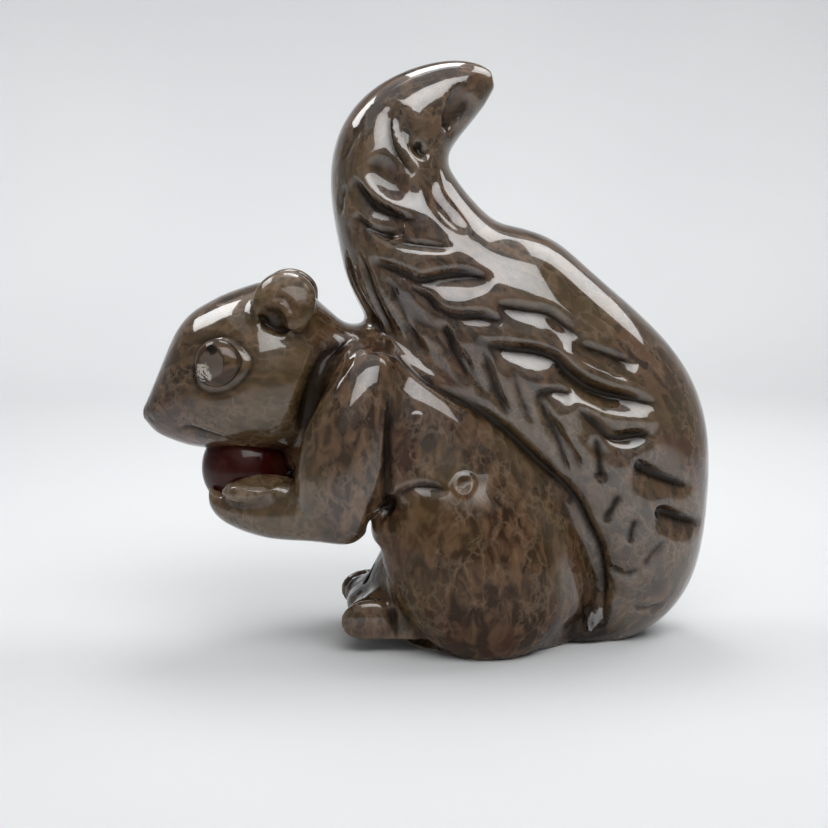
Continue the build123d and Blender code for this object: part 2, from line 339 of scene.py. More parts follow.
def new_tree(name, inputs):
    """A Geometry Nodes tree with these named inputs after its geometry; gives a wire for each of them."""
    tree = bpy.data.node_groups.new(name, "GeometryNodeTree")
    tree.interface.new_socket("Geometry", in_out="INPUT", socket_type="NodeSocketGeometry")
    for label, kind in inputs.items():
        tree.interface.new_socket(label, in_out="INPUT", socket_type=kind)
    tree.interface.new_socket("Geometry", in_out="OUTPUT", socket_type="NodeSocketGeometry")
    source = tree.nodes.new("NodeGroupInput")
    return tree, {label: Wire(tree, source.outputs[label]) for label in ("Geometry", *inputs)}


def end_tree(geometry, material):
    """Closes a tree: instances made real, and the finish set."""
    real = geometry.node("GeometryNodeRealizeInstances", None, {"Geometry": geometry})
    done = real.node("GeometryNodeSetMaterial", None, {"Geometry": real, "Material": material})
    group_output = done.tree.nodes.new("NodeGroupOutput")
    done.tree.links.new(done.socket, group_output.inputs["Geometry"])


def add_tree(piece, tree, values):
    """Puts a tree on a piece, with its inputs set by their identifiers."""
    modifier = piece.modifiers.new(tree.name, "NODES")
    modifier.node_group = tree
    for item in tree.interface.items_tree:
        if item.in_out == "INPUT" and item.name in values:
            modifier[item.identifier] = values[item.name]


def island_tree():
    """Drops the specks that the voxels leave in closed nooks between castings."""
    tree, wires = new_tree("drop_specks", {"Fewest Points": "NodeSocketInt", "Material": "NodeSocketMaterial"})
    geometry = wires["Geometry"]
    island = geometry.node("GeometryNodeInputMeshIsland", None, None, "Island Index")
    size = island.node("GeometryNodeAccumulateField", {"data_type": "INT"}, {"Group Index": island}, "Total")
    small = size.node(
        "FunctionNodeCompare", {"data_type": "INT", "operation": "LESS_THAN"},
        {"A_INT": size, "B_INT": wires["Fewest Points"]},
    )
    kept = small.node("GeometryNodeDeleteGeometry", None, {"Geometry": geometry, "Selection": small})
    end_tree(kept, wires["Material"])
    return tree


def carving_tree():
    """Presses one stroke into a surface, the same on both sides of the figurine.

    The surface keeps its uncarved places and normals as attributes, so strokes add up where they cross. Each
    point of the stroke holds its half width, its depth (a raised line is below zero) and a lean, which points
    to the side where its wall is steeper. A sharp stroke has a keel, where the glaze pools, and stores a
    painted shade along it; others have a round bottom.
    """
    inputs = {
        "Stroke": "NodeSocketObject",
        "Lean Share": "NodeSocketFloat",
        "Sharpness": "NodeSocketFloat",
        "Material": "NodeSocketMaterial",
    }
    tree, wires = new_tree("carving", inputs)
    geometry = wires["Geometry"]
    stroke = geometry.node("GeometryNodeObjectInfo", None, {"Object": wires["Stroke"]}, "Geometry")

    def named(name, kind="FLOAT_VECTOR"):
        return geometry.node("GeometryNodeInputNamedAttribute", {"data_type": kind}, {"Name": name})

    split = geometry.node("ShaderNodeSeparateXYZ", None, {"Vector": named("uncarved_place")}, "X")
    left_side = -1 * split.other("Y").maths("ABSOLUTE", split.other("Y"))
    place = split.node("ShaderNodeCombineXYZ", None, {"X": split, "Y": left_side, "Z": split.other("Z")})
    nearest = place.node("GeometryNodeSampleNearest", None, {"Geometry": stroke, "Sample Position": place})

    def sampled(value, kind="FLOAT"):
        found = {"Geometry": stroke, "Value": value, "Index": nearest}
        return value.node("GeometryNodeSampleIndex", {"data_type": kind}, found)

    away = place.vector("SUBTRACT", place, sampled(geometry.node("GeometryNodeInputPosition"), "FLOAT_VECTOR"))
    distance = away.vector("LENGTH", away, out="Value")
    half_width = sampled(named("half_width", "FLOAT"))
    lean = sampled(named("lean"), "FLOAT_VECTOR")
    side = away.vector("DOT_PRODUCT", away, lean, out="Value") / half_width
    side = side.node("ShaderNodeClamp", None, {"Value": side, "Min": -1.0, "Max": 1.0})
    reach = half_width * (1 - side * wires["Lean Share"])
    rise = 1 - distance / reach
    rise = rise.node("ShaderNodeClamp", None, {"Value": rise})
    sharp = wires["Sharpness"]
    wall = sharp * rise**KEEL_POWER + (1 - sharp) * rise.ramp(0, 1)
    offset = wall.vector("SCALE", named("uncarved_normal"))
    depth = sampled(named("depth", "FLOAT"))
    scale = -1 * wall * depth
    tree.links.new(scale.socket, pick(offset.socket.node.inputs, "Scale"))
    moved = scale.node("GeometryNodeSetPosition", None, {"Geometry": geometry, "Offset": offset})
    # Painted shade: a dark line along a sharp stroke's keel, darker for deeper strokes
    deep = depth.node("ShaderNodeClamp", None, {"Value": depth / KEEL_SHADE_DEPTH})
    keel = named("keel", "FLOAT")
    keel = keel.maths("MAXIMUM", keel, sharp * deep * wall**KEEL_SHADE_POWER)
    shaded = keel.node(
        "GeometryNodeStoreNamedAttribute", {"data_type": "FLOAT", "domain": "POINT"},
        {"Geometry": moved, "Name": "keel", "Value": keel},
    )
    end_tree(shaded, wires["Material"])
    return tree


def smooth_path(points, closed):
    """Points about a pixel apart on a smooth line through the given ones, with each one's share of the way."""
    points = np.array(points, float)
    if closed:
        points = np.vstack((points[-1:], points, points[:2]))
    else:
        points = np.vstack((2 * points[:1] - points[1:2], points, 2 * points[-1:] - points[-2:-1]))
    line = []
    for a, b, c, d in zip(points, points[1:], points[2:], points[3:]):
        steps = max(2, math.ceil(np.linalg.norm(c - b)))
        for t in np.arange(steps) / steps:
            line.append(
                (2 * b + (c - a) * t + (2 * a - 5 * b + 4 * c - d) * t**2 + (3 * b - a - 3 * c + d) * t**3) / 2
            )
    return np.array(line), np.arange(len(line)) / max(len(line) - 1, 1)


def stroke_object(skin_tree, depth, half_width, lean, points, *closed):
    """A stroke, read off the photograph in pixels, laid on the left side of the skin."""
    line, share = smooth_path(points, bool(closed))
    ends = np.ones(len(line)) if closed else np.clip(np.minimum(share, 1 - share) / STROKE_END_SHARE, 0, 1)
    ends = ends * (2 - ends)
    places, half_widths, depths, leans = [], [], [], []
    for (across, down), (go_across, go_down), end in zip(line, np.gradient(line, axis=0), ends):
        hit = skin_tree.ray_cast(camera_place, photo_ray(across, down))[0]
        if hit is None:
            continue
        aside = SIGHT_RIGHT * go_down + SIGHT_UP * go_across
        places.append(hit)
        half_widths.append(half_width * MM * (STROKE_END_WIDTH + (1 - STROKE_END_WIDTH) * end))
        depths.append(depth * MM * end)
        leans.append(aside.normalized() * lean)
    mesh = bpy.data.meshes.new("stroke")
    mesh.from_pydata(places, [], [])
    store(mesh, "half_width", np.array(half_widths))
    store(mesh, "depth", np.array(depths))
    store(mesh, "lean", np.array(leans))
    return new_object("stroke", mesh)


# Strokes of the modelling tool, in pixels of the photograph: depth and half width in mm, lean, and the line.
# A lean of 1 makes the wall on the left of the way steeper, and a closed line says so at its end.
STROKE_END_SHARE = 0.3
STROKE_END_WIDTH = 0.55
STROKE_LEAN_SHARE = 0.85
KEEL_POWER = 1.35
# Painted shade along sharp keels: how fast it fades off the line, and the depth at which it is full
KEEL_SHADE_POWER = 3.0
KEEL_SHADE_DEPTH = 1.6 * MM
HOLLOW_SHARPNESS = 0.0
GROOVE_SHARPNESS = 0.8
HOLLOWS = (
    # Tail tip: the big fold's hollow, the facet under the tip and the notch behind them
    (1.2, 5.5, 0, ((368, 158), (378, 172), (392, 184), (408, 192))),
    (1.0, 4.6, 0, ((474, 94), (460, 116), (444, 140))),
    (0.9, 4.5, 0, ((438, 160), (432, 190), (450, 216), (468, 234))),
    # Plume's front edge: the dark trough beside the first locks
    (1.2, 3.4, 0, ((400, 296), (412, 316), (424, 334))),
    # Plume's flank: the round heads of two locks, raised
    (-1.0, 4.4, 0, ((558, 352), (584, 368), (616, 381), (652, 390))),
    (-1.0, 4.4, 0, ((576, 400), (604, 412), (634, 419), (662, 420))),
    # Palm: raised along the nut
    (-2.6, 4.5, 0, ((218, 490), (240, 494), (268, 494), (294, 488))),
)
GROOVES = (
    # Tail tip: folds and the recess
    (2.0, 5.4, 0.8, ((397, 100), (391, 120), (395, 143), (404, 162), (414, 178))),
    (2.2, 2.8, 0, ((416, 140), (420, 150), (430, 156))),
    (2.8, 4.6, 1.0, ((352, 176), (362, 195), (376, 208), (395, 217), (418, 220))),
    (2.1, 4.0, 1.0, ((351, 214), (362, 225), (378, 231), (400, 234))),
    (0.9, 2.4, 0, ((345, 184), (341, 200), (340, 216))),
    (0.7, 2.2, 0, ((359, 128), (350, 144), (343, 162))),
    # Upper flank: a slot and the undercut edges of the first locks
    (1.3, 1.8, 0.3, ((386, 240), (420, 244), (454, 248))),
    (3.0, 4.8, 1.0, ((368, 260), (395, 272), (420, 282), (440, 278), (470, 275), (494, 281))),
    (2.8, 4.6, 1.0, ((404, 286), (424, 299), (437, 312), (454, 318), (484, 318), (506, 324))),
    # Front edge: long streaks that run down to the back
    (1.4, 2.6, 0, ((346, 250), (353, 280), (363, 301), (386, 338))),
    (1.5, 2.6, 0, ((359, 251), (368, 280), (379, 309), (397, 340))),
    (1.5, 2.6, 0, ((384, 276), (397, 304), (409, 330), (430, 358))),
    (1.7, 2.6, 0, ((438, 322), (450, 344), (463, 370), (470, 386))),
    (1.7, 2.8, 0, ((482, 350), (489, 374), (495, 393), (510, 418))),
    (1.3, 2.6, 0, ((512, 368), (520, 396), (534, 428))),
    (1.7, 2.8, 0, ((536, 396), (549, 424), (560, 450), (568, 476))),
    (1.2, 2.6, 0, ((552, 419), (569, 448), (583, 474))),
    (1.0, 2.4, 0, ((460, 346), (474, 376), (488, 400))),
    # Middle flank: the long S-shaped undercut and its neighbours
    (3.2, 5.0, 1.0, ((474, 338), (490, 346), (510, 350), (535, 353), (556, 360), (568, 373), (585, 386), (605, 394),
                     (630, 399), (662, 405))),
    (2.4, 4.0, 1.0, ((532, 398), (553, 393), (574, 392))),
    (2.9, 4.8, 1.0, ((576, 408), (596, 425), (612, 438), (632, 437), (656, 433))),
    (1.7, 3.4, 0, ((597, 436), (600, 460), (602, 484))),
    (2.3, 4.8, 1.0, ((494, 304), (522, 309), (548, 313), (566, 325), (586, 342))),
    (1.5, 4.4, 1.0, ((572, 342), (604, 353), (640, 366))),
    # Lower flank
    (2.8, 4.6, 1.0, ((632, 462), (650, 472), (668, 480), (694, 487))),
    (2.6, 4.4, 1.0, ((656, 508), (676, 517), (702, 523))),
    (1.6, 3.6, 0, ((620, 494), (612, 510), (601, 524))),
    (1.4, 3.0, 0, ((637, 518), (632, 532), (631, 545))),
    (1.1, 3.0, 0.4, ((668, 540), (652, 556), (641, 572))),
    (1.1, 2.6, 0.4, ((606, 566), (624, 574), (644, 568))),
    (0.9, 2.2, 0.4, ((630, 606), (646, 609), (664, 602))),
    # Seams: the neck, the back of the arm, the haunch's front, the root of the tail, the hind foot's heel and
    # the notch behind the haunch
    (2.6, 5.6, 0, ((352, 336), (330, 352), (318, 373), (310, 396), (303, 418), (296, 436))),
    (1.6, 2.4, 0, ((392, 392), (389, 430), (388, 470), (387, 505), (379, 528))),
    (1.4, 2.6, 0.5, ((386, 522), (390, 508), (400, 494), (416, 487), (434, 487), (450, 492))),
    (1.9, 2.6, 0, ((392, 350), (426, 380), (468, 404), (502, 428), (537, 461), (571, 494), (588, 525), (600, 554),
                   (604, 592), (602, 630))),
    (1.4, 2.2, 0, ((386, 606), (392, 616), (395, 628), (396, 639))),
    (1.2, 2.6, 0, ((583, 596), (587, 614), (591, 634))),
    # Raised rings that the sprigs left on the tail and the flank
    (-0.4, 0.9, 0, ((654, 574), (658, 568), (665, 569), (667, 576), (662, 581), (656, 580)), "closed"),
    (-0.55, 1.4, 0, ((455, 486), (460, 477), (470, 477), (472, 486), (466, 495), (459, 493)), "closed"),
    (-0.4, 1.0, 0, ((411, 420), (415, 415), (421, 417), (421, 423), (414, 425)), "closed"),
    # Head: groove round the eye, the mouth and the nostril
    (0.9, 2.0, 0, ((193, 366), (199, 347), (212, 338), (226, 336), (241, 345), (252, 361), (246, 376), (233, 388),
                   (218, 393), (203, 391), (194, 381)), "closed"),
    (1.2, 1.8, 0.6, ((176, 429), (190, 428), (206, 433), (228, 440))),
    (0.5, 1.0, 0, ((149, 417), (152, 420), (156, 421))),
    # Ear: the shadowed nook below it and the fold inside its rim
    (1.6, 2.2, 0, ((257, 314), (268, 324), (283, 331), (300, 335))),
    (0.8, 1.6, 0, ((270, 302), (280, 297), (289, 304), (294, 318))),
    # Paws: fingers on the nut
    (0.7, 1.2, 0, ((214, 480), (222, 487), (236, 490))),
)

# Slip: egg-shaped zones, centre and radii in mm, where the seams were worked away
SLIP_ROUNDS = 110
SLIP_ZONES = (
    # Shoulder
    ((-16, -23, 86), (20, 20, 18)),
    # Nape
    ((-25, 0, 97), (16, 28, 15)),
    # Haunch, behind its front crease
    ((40, -26, 34), (42, 24, 46)),
)
# Plume: egg-shaped zones where the locks' edges are rounded off
PLUME_ROUNDS = 5
PLUME_ZONES = (
    ((58, -24, 36), (34, 22, 44)),
    ((32, -26, 84), (50, 22, 40)),
    ((4, -24, 116), (34, 22, 44)),
)


# Finishes, as linear colours
TAUPE = (0.121, 0.067, 0.036, 1)
DARK_DAB = (0.032, 0.017, 0.009, 1)
VEIN = (0.270, 0.190, 0.125, 1)
OLIVE = (0.105, 0.070, 0.026, 1)
RUSSET = (0.080, 0.024, 0.013, 1)
# Near black: painted shade in creases and round the eye's dome, and the pupil's paint
SHADE_AND_PUPIL_BLACK = (0.004, 0.003, 0.0025, 1)
THIN_GLAZE = (0.230, 0.170, 0.115, 1)
BARE_CLAY = (0.520, 0.440, 0.350, 1)
OXBLOOD = (0.030, 0.003, 0.002, 1)
NUT_BROWN = (0.042, 0.010, 0.006, 1)
PUPIL_GREY = (0.105, 0.082, 0.064, 1)
FLAKE_WHITE = (0.480, 0.430, 0.370, 1)

# Brushing: blots and the cells between veins, in mm along and across the brush's way, and how far each glaze covers
BLOT_SIZES = (8.0, 4.0, 4.0)
CELL_SIZES = (7.5, 4.0, 4.0)
CELL_STRAY = 1.2
CELL_STRAY_SIZE = 3.0 * MM
OLIVE_SHARE = 0.45
RUSSET_SHARE = 0.50
VEIN_SHARE = 0.28
WORN_SHARE = 0.75
# How far painted shade, over the glaze's own pooling, darkens creases towards near black
SHADE_AND_POOL_SHARE = 0.85

# Foot ring: bare clay up to this height, where the glaze was wiped off
BARE_BELOW = 0.15 * MM
GLAZED_ABOVE = 0.5 * MM

# Glaze surface: how high it wobbles, and the clear coat's weight where that is the same all over
BODY_WOBBLE = 0.8 * MM
EYE_WOBBLE = 0.10 * MM
EYE_COAT = 0.25
NUT_WOBBLE = 0.12 * MM
NUT_COAT = 0.15


def new_material(name):
    """A material with an empty tree; gives it with a wire to Object coordinates to start from."""
    material = bpy.data.materials.new(name)
    material.use_nodes = True
    material.node_tree.nodes.clear()
    start = Wire(material.node_tree, None)
    return material, start.node("ShaderNodeTexCoord", None, None, "Object")


def noise(place, sizes, detail=2.0, distortion=0.0, seed=(0, 0, 0)):
    """Noise whose features have these sizes in mm along the three axes of the place."""
    scale = [1 / (size * MM) for size in sizes]
    mapped = place.node("ShaderNodeMapping", None, {"Vector": place, "Scale": scale, "Location": seed})
    settings = {"Vector": mapped, "Scale": 1.0, "Detail": detail, "Distortion": distortion}
    return mapped.node("ShaderNodeTexNoise", None, settings, "Fac")


def attribute(place, name, out):
    return place.node("ShaderNodeAttribute", {"attribute_name": name}, None, out)


def glaze_shader(place, colour, roughness, height, bump_depth, coat=1.0):
    """Glossy glaze over a coloured body: a hard clear coat on a softer gloss."""
    bump = height.node(
        "ShaderNodeBump", None, {"Strength": 1.0, "Distance": bump_depth, "Height": height}
    )
    inputs = {
        "Base Color": colour,
        "Roughness": roughness,
        "IOR": 1.5,
        "Specular IOR Level": 0.08,
        "Coat Weight": coat,
        "Coat Roughness": 0.05,
        "Coat IOR": 2.0,
        "Normal": bump,
    }
    shader = place.node("ShaderNodeBsdfPrincipled", None, inputs, "BSDF")
    shader.node("ShaderNodeOutputMaterial", None, {"Surface": shader})


def brushed_colour(place, brush):
    """Brown glaze dabbed on with a brush: pale veins round darker blots, with olive and russet patches."""
    stray = place.node(
        "ShaderNodeTexNoise", None, {"Vector": place, "Scale": 1 / CELL_STRAY_SIZE, "Detail": 2.0}, "Color"
    )
    stray = stray.vector("SCALE", stray.vector("SUBTRACT", stray, (0.5, 0.5, 0.5)))
    pick(stray.socket.node.inputs, "Scale").default_value = CELL_STRAY
    cells = brush.node("ShaderNodeMapping", None, {"Vector": brush, "Scale": [1 / (s * MM) for s in CELL_SIZES]})
    cells = cells.vector("ADD", cells, stray)
    edge = cells.node(
        "ShaderNodeTexVoronoi", {"feature": "DISTANCE_TO_EDGE"}, {"Vector": cells, "Scale": 1.0}, "Distance"
    )
    veins = (1 - edge.ramp(0.0, 0.15)) * noise(place, (9, 9, 9), 2.0, 0.0, (3, 1, 6)).ramp(0.36, 0.62)
    blots = noise(brush, BLOT_SIZES, 3.0, 0.8).ramp(0.34, 0.62)
    washes = noise(place, (30, 30, 30), 2.0, 0.0, (7, 3, 1)).ramp(0.40, 0.66)
    russet = noise(place, (17, 17, 17), 3.0, 0.4, (1, 8, 4)).ramp(0.54, 0.72)
    colour = blots.mix(TAUPE, DARK_DAB)
    colour = (washes * OLIVE_SHARE).mix(colour, OLIVE)
    colour = (russet * RUSSET_SHARE).mix(colour, RUSSET)
    return (veins * VEIN_SHARE).mix(colour, VEIN)


def body_glaze():
    """The castings' glaze: pooled glaze and painted shade dark in the creases, thin on crowns and glossiest where it
    faces up.
    """
    material, place = new_material("body_glaze")
    brush = attribute(place, "brush", "Vector")
    pool_and_shade = attribute(place, "pool_and_shade", "Fac")
    crown = attribute(place, "crown", "Fac")
    colour = brushed_colour(place, brush)
    worn = crown * noise(place, (2.0, 2.0, 2.0), 2.0, 0.0, (5, 5, 1)).ramp(0.25, 0.65)
    colour = (worn * WORN_SHARE).mix(colour, THIN_GLAZE)
    # Painted shade: creases, keels and recesses darkened towards near black, over the glaze's own pooling
    colour = (pool_and_shade * SHADE_AND_POOL_SHARE).mix(colour, SHADE_AND_PUPIL_BLACK)
    height_up = place.node("ShaderNodeSeparateXYZ", None, {"Vector": place}, "Z")
    bare = 1 - height_up.ramp(BARE_BELOW, GLAZED_ABOVE)
    colour = bare.mix(colour, BARE_CLAY)
    roughness = 0.16 + noise(place, (9, 9, 9), 2.0) * 0.10 + bare * 0.5
    wobble = noise(place, (6.0, 6.0, 6.0), 2.0, 0.0, (2, 6, 3))
    upward = place.node("ShaderNodeSeparateXYZ", None, {"Vector": place.other("Normal")}, "Z").ramp(0.45, 0.8)
    gloss = attribute(place, "gloss", "Fac")
    # The painted crease shade also takes the clear coat away, dimming reflections in the creases
    coat = (gloss + (1 - gloss) * upward) * (1 - pool_and_shade * 0.9) * (1 - worn * 0.5)
    glaze_shader(place, colour, roughness, wobble, BODY_WOBBLE, coat)
    return material


def eye_glaze():
    """The head's glaze with a painted pupil, flaked at its lower front edge, and painted shade round the dome's edge.
    """
    material, place = new_material("eye_glaze")
    disc = place.node("ShaderNodeUVMap", {"uv_map": "pupil"}, None, "UV")
    ragged = noise(place, (1.6, 1.6, 1.6), 3.0, 0.0, (4, 2, 9)) - 0.5

    def spot(across, up, radius, edge, rag):
        away = disc.vector("DISTANCE", disc, (across, up, 0), out="Value")
        return 1 - (away + ragged * rag).ramp(radius - edge, radius + edge)

    colour = brushed_colour(place, place)
    pupil = spot(0.42, 0.55, 0.35, 0.02, 0.10)
    colour = (pupil * 0.75).mix(colour, TAUPE)
    inner = spot(0.46, 0.51, 0.27, 0.02, 0.06)
    ring = pupil * (1 - inner)
    colour = (ring * 0.6).mix(colour, SHADE_AND_PUPIL_BLACK)
    colour = inner.mix(colour, PUPIL_GREY)
    colour = (spot(0.47, 0.84, 0.13, 0.04, 0.20) * pupil * 0.9).mix(colour, SHADE_AND_PUPIL_BLACK)
    flakes = spot(0.26, 0.32, 0.20, 0.03, 0.30) * noise(place, (1.7, 1.7, 1.7), 3.0, 0.8).ramp(0.47, 0.53)
    colour = flakes.mix(colour, FLAKE_WHITE)
    # Painted shade: the dome darkens towards its edge, where it sinks into its groove
    edge_shade = disc.vector("DISTANCE", disc, (0.5, 0.5, 0), out="Value").ramp(0.43, 0.5)
    colour = (edge_shade * 0.6).mix(colour, SHADE_AND_PUPIL_BLACK)
    wobble = noise(place, (3.0, 3.0, 3.0), 2.0) + flakes * 0.6
    glaze_shader(place, colour, 0.16 + flakes * 0.3, wobble, EYE_WOBBLE, EYE_COAT)
    return material


def nut_glaze():
    material, place = new_material("nut_glaze")
    thin = noise(place, (9, 9, 9), 3.0, 0.6, (2, 2, 2)).ramp(0.42, 0.66)
    colour = thin.mix(OXBLOOD, NUT_BROWN)
    wobble = noise(place, (6, 6, 6), 2.0)
    glaze_shader(place, colour, 0.14 + thin * 0.1, wobble, NUT_WOBBLE, NUT_COAT)
    return material


BODY_GLAZE = body_glaze()
EYE_GLAZE = eye_glaze()
NUT_GLAZE = nut_glaze()

# Skin: drawn, smoothed, its creases filled, then carved
SPECK_POINTS = 1000
drawn_skin = new_object("skin", castings_mesh())
remesh = drawn_skin.modifiers.new("skin", "REMESH")
remesh.mode = "VOXEL"
remesh.voxel_size = SKIN_VOXEL
add_tree(drawn_skin, island_tree(), {"Fewest Points": SPECK_POINTS, "Material": BODY_GLAZE})
skin = Surface(evaluated_mesh(drawn_skin))
skin.smooth(SMOOTHING_ROUNDS)
skin.blend(SLIP_ZONES + PLUME_ZONES, SLIP_ROUNDS)
filled = skin.fill_creases(CREASE_ROUNDS)
store(skin.mesh, "uncarved_place", skin.points)
store(skin.mesh, "uncarved_normal", skin.normals())
store(skin.mesh, "keel", np.zeros(len(skin.points)))

skin_tree = BVHTree.FromPolygons(skin.points.tolist(), skin.faces().tolist())
carving = carving_tree()
carved = new_object("carved", skin.mesh)
tool_paths = []
for sharpness, strokes in ((HOLLOW_SHARPNESS, HOLLOWS), (GROOVE_SHARPNESS, GROOVES)):
    for stroke in strokes:
        tool_paths.append(stroke_object(skin_tree, *stroke))
        values = {"Stroke": tool_paths[-1], "Lean Share": STROKE_LEAN_SHARE, "Sharpness": sharpness}
        add_tree(carved, carving, {**values, "Material": BODY_GLAZE})
skin = Surface(evaluated_mesh(carved))
for tool_path in tool_paths:
    bpy.data.objects.remove(tool_path)
skin.smooth(SETTLING_ROUNDS)
skin.blend(PLUME_ZONES, PLUME_ROUNDS)
skin.points = np.clip(skin.points, np.array(cad_box[0]), np.array(cad_box[1]))
skin.update()

# Glaze thickness and painted shade: creases pooled and painted darker, crowns thin, each from 0 to 1
SHADE_FILL = 0.9 * MM
FILL_SHARE = 0.45
HOLLOW_SHARE = 0.6
SHADE_HOLLOW = 0.030 * MM
CROWN_HOLLOW = 0.045 * MM
CROWN_FROM = 0.3
EAR_WORN_FROM = 100 * MM
EAR_WORN_RISE = 12 * MM
hollow = skin.hollowness(CURVATURE_ROUNDS)
# Painted shade: the keels' dark lines, the filled creases and the hollows are all darkened
pooled_and_shaded = array_of(skin.mesh.attributes["keel"].data, "value", 1)
pooled_and_shaded += FILL_SHARE * np.clip(filled / SHADE_FILL, 0, 1) + HOLLOW_SHARE * np.clip(hollow / SHADE_HOLLOW, 0, 1)
pool_and_shade = np.clip(pooled_and_shaded, 0, 1)
crown = np.clip(-hollow / CROWN_HOLLOW - CROWN_FROM, 0, 1)


def casting_shares(surface):
    """For each vertex, how much of its neighbourhood lies on each casting."""
    points, faces, owners = [], [], []
    for index, name in enumerate(GLAZED_NODES):
        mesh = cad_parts[name].data
        triangles = array_of(mesh.loops, "vertex_index", 1, int).reshape(-1, 3)
        faces.append(triangles + sum(map(len, points)))
        points.append(array_of(mesh.vertices, "co", 3))
        owners.append(np.full(len(triangles), index))
    tree = BVHTree.FromPolygons(np.vstack(points).tolist(), np.vstack(faces).tolist())
    owners = np.concatenate(owners)
    nearest = owners[[tree.find_nearest(point)[2] for point in surface.points.tolist()]]
    shares = np.eye(len(GLAZED_NODES))[nearest]
    for _ in range(LABEL_ROUNDS):
        shares = surface.around(shares)
    return shares


shares = casting_shares(skin)

# Brushing: the dabs follow the tail's spine, run from nose to nape on the head and downwards elsewhere
TAIL_SPINE = np.array(
    ((50, 3), (63, 19), (62, 37), (56, 57), (42, 75), (21, 93), (3, 108), (-7, 125), (-11, 140), (-8, 151), (0, 158),
     (18, 166))
) * MM


def along_spine(points):
    """Place along the tail's spine, across it and out from it."""
    flat = points[:, ::2]
    starts, runs = TAIL_SPINE[:-1], np.diff(TAIL_SPINE, axis=0)
    lengths = np.linalg.norm(runs, axis=1)
    before = np.concatenate(([0], np.cumsum(lengths)[:-1]))
    rel = flat[:, None] - starts
    share = np.clip((rel * runs).sum(2) / lengths**2, 0, 1)
    gap = rel - share[..., None] * runs
    side = np.sign(runs[:, 0] * rel[..., 1] - runs[:, 1] * rel[..., 0])
    far = np.linalg.norm(gap, axis=2)
    best = far.argmin(1)
    row = np.arange(len(points))
    along = before[best] + share[row, best] * lengths[best]
    return np.column_stack((along, points[:, 1], side[row, best] * far[row, best]))


# Gloss: how much of the clear coat each kind of casting kept on its sides, and zones of dull glaze, and zones of
# painted shade
GLOSS = {
    "tail_casting": 0.90,
    "body_casting": 0.65,
    "head_casting": 0.55,
    "ear": 0.20,
    "foreleg": 0.60,
    "haunch": 0.10,
    "hind_foot": 0.50,
}
DULL_SHARE = 0.9
DULL_ZONES = (
    # Roll on top of the haunch
    ((11, -26, 46), (18, 20, 12)),
    # Belly between the haunches
    ((-8, 0, 28), (22, 22, 26)),
)
# Painted shade: two recesses darkened towards near black, how far and where
SHADE_ZONE_SHARE = 0.85
SHADE_ZONES = (
    # Notch at the tail's root, behind the haunch
    ((46, -10, 5), (13, 15, 11)),
    # Valley between the hind feet
    ((-14, 0, 17), (18, 9, 9)),
)
gloss = shares @ np.array([GLOSS[name.removeprefix("left_").removeprefix("right_")] for name in GLAZED_NODES])
gloss *= 1 - DULL_SHARE * skin.inside(DULL_ZONES)
pool_and_shade = np.maximum(pool_and_shade, SHADE_ZONE_SHARE * skin.inside(SHADE_ZONES))

owner = shares.argmax(1)
brush = skin.points[:, [2, 0, 1]]
on_head = np.isin(owner, [GLAZED_NODES.index(name) for name in ("head_casting", "left_ear", "right_ear")])
on_tail = owner == GLAZED_NODES.index("tail_casting")
on_ear = np.isin(owner, [GLAZED_NODES.index(f"{side}_ear") for side in SIDES])
ear_height = (skin.points[on_ear, 2] - EAR_WORN_FROM) / EAR_WORN_RISE
crown[on_ear] = np.maximum(crown[on_ear], np.clip(ear_height, 0, 1))
brush[on_head] = skin.points[on_head]
brush[on_tail] = along_spine(skin.points[on_tail])

# Pieces: the skin parted along the castings' seams, each part closed behind by a lip and a fan
LIP = 1.5 * MM


def seam_loops(faces):
    """Closed loops of the directed edges that only one face uses."""
    edges = np.vstack([faces[:, [corner, (corner + 1) % 4]] for corner in range(4)])
    known = {tuple(edge) for edge in edges.tolist()}
    onward = {}
    for a, b in known:
        if (b, a) not in known:
            onward.setdefault(b, []).append(a)
    loops = []
    while onward:
        start = at = next(iter(onward))
        loop = []
        while True:
            loop.append(at)
            following = onward[at].pop()
            if not onward[at]:
                del onward[at]
            at = following
            if at == start:
                break
        loops.append(loop)
    return loops


def part_of_skin(index, name):
    """One casting's part of the skin."""
    faces = skin.faces()
    mine = faces[shares[faces].mean(1).argmax(1) == index]
    used, faces = np.unique(mine, return_inverse=True)
    faces = faces.reshape(-1, 4)
    points, normals = skin.points[used], skin_normals[used]
    values = {"pool_and_shade": pool_and_shade[used], "crown": crown[used], "gloss": gloss[used], "brush": brush[used]}
    polygons = faces.tolist()
    for loop in seam_loops(faces):
        ring = len(points) + np.arange(len(loop))
        hub = len(points) + len(loop)
        lip = points[loop] - LIP * normals[loop]
        points = np.vstack((points, lip, lip.mean(0)))
        normals = np.vstack((normals, np.zeros((len(loop) + 1, 3))))
        values = {key: np.concatenate((kept, kept[loop], kept[loop[:1]])) for key, kept in values.items()}
        for step, here in enumerate(loop):
            after = (step + 1) % len(loop)
            polygons.append((here, loop[after], ring[after], ring[step]))
            polygons.append((ring[step], ring[after], hub))
    mesh = bpy.data.meshes.new(name)
    mesh.from_pydata(points.tolist(), [], polygons)
    mesh.materials.append(BODY_GLAZE)
    for key, kept in values.items():
        store(mesh, key, kept)
    mesh.shade_smooth()
    corners = array_of(mesh.loops, "vertex_index", 1, int)
    corner_normals = normals[corners]
    corner_normals[faces.size:] = 0
    mesh.normals_split_custom_set(corner_normals.tolist())
    return new_object(name, mesh)


skin_normals = skin.normals()
for index, node in enumerate(GLAZED_NODES):
    piece = part_of_skin(index, f"{node}_glazed")
    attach(piece, "root")
    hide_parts(node)

